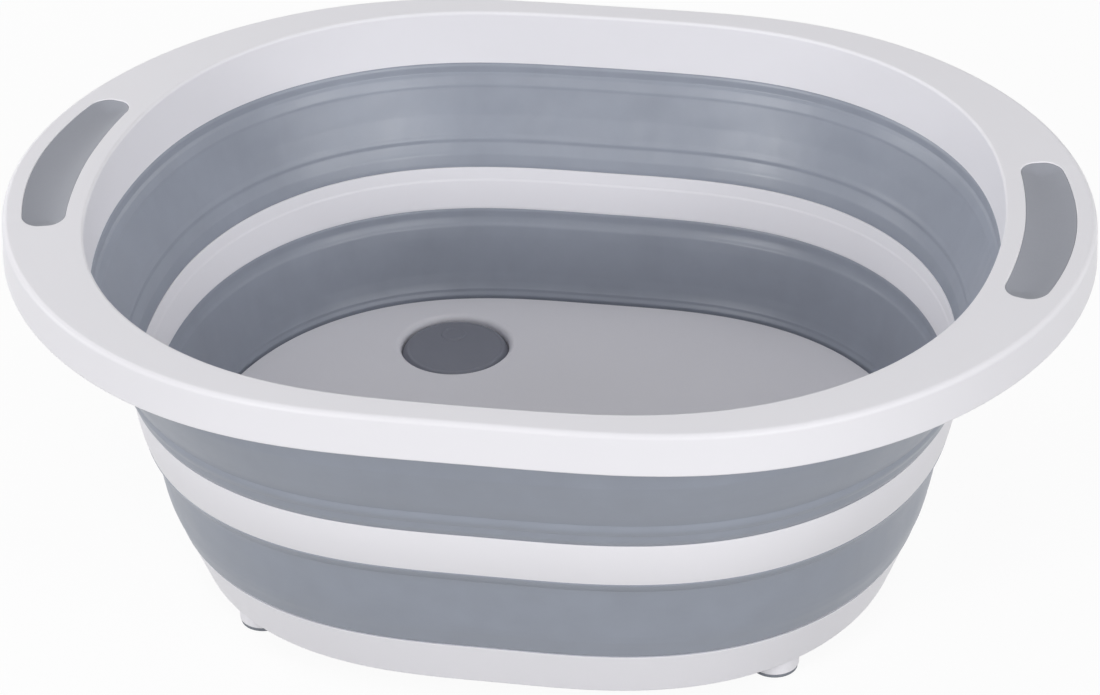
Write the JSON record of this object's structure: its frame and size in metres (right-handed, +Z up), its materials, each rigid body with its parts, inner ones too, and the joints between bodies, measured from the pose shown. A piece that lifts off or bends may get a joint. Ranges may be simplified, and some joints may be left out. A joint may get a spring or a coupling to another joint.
{
  "type": "collapsible camp washbasin",
  "caption": "Oval folding washbasin: hard rim, middle ring and raised floor joined by soft creased walls, with inset hand grips, a drain plug and short feet.",
  "frame": {"origin": "on the ground under the middle of the open basin, at the underside of the feet", "axes": "+X along the basin's length towards the right-hand grip, +Y across it towards the side where the drain is, +Z up"},
  "size_m": [0.4014, 0.3212, 0.1463],
  "materials": {
    "rim_plastic": "satin white moulded plastic",
    "ring_plastic": "satin white moulded plastic",
    "base_plastic": "satin white moulded plastic, finely textured floor",
    "soft_wall": "satin grey soft rubber-like plastic",
    "grip_rubber": "matt grey soft-touch",
    "plug_rubber": "matt dark grey soft rubber",
    "foot_rubber": "matt grey rubber"
  },
  "bodies": {
    "base": {"base": "base_plastic", "lower_folding_wall": "soft_wall", "foot_pad_front_left": "foot_rubber", "foot_pad_front_right": "foot_rubber", "foot_pad_rear_right": "foot_rubber", "foot_pad_rear_left": "foot_rubber"},
    "middle_ring": {"middle_ring": "ring_plastic", "upper_folding_wall": "soft_wall"},
    "rim": {"rim": "rim_plastic", "left_grip": "grip_rubber", "right_grip": "grip_rubber"},
    "drain_plug": {"drain_plug": "plug_rubber"}
  },
  "joints": [
    {"name": "lower_collapse", "type": "slide", "parent": "base", "child": "middle_ring", "axis": [0, 0, 1], "range_m": [-0.0546, 0], "deforming": ["lower_folding_wall"]},
    {"name": "upper_collapse", "type": "slide", "parent": "middle_ring", "child": "rim", "axis": [0, 0, 1], "range_m": [-0.0426, 0], "deforming": ["upper_folding_wall"]},
    {"name": "plug_lift", "type": "slide", "parent": "base", "child": "drain_plug", "axis": [0, 0, 1], "range_m": [0, 0.04]}
  ]
}
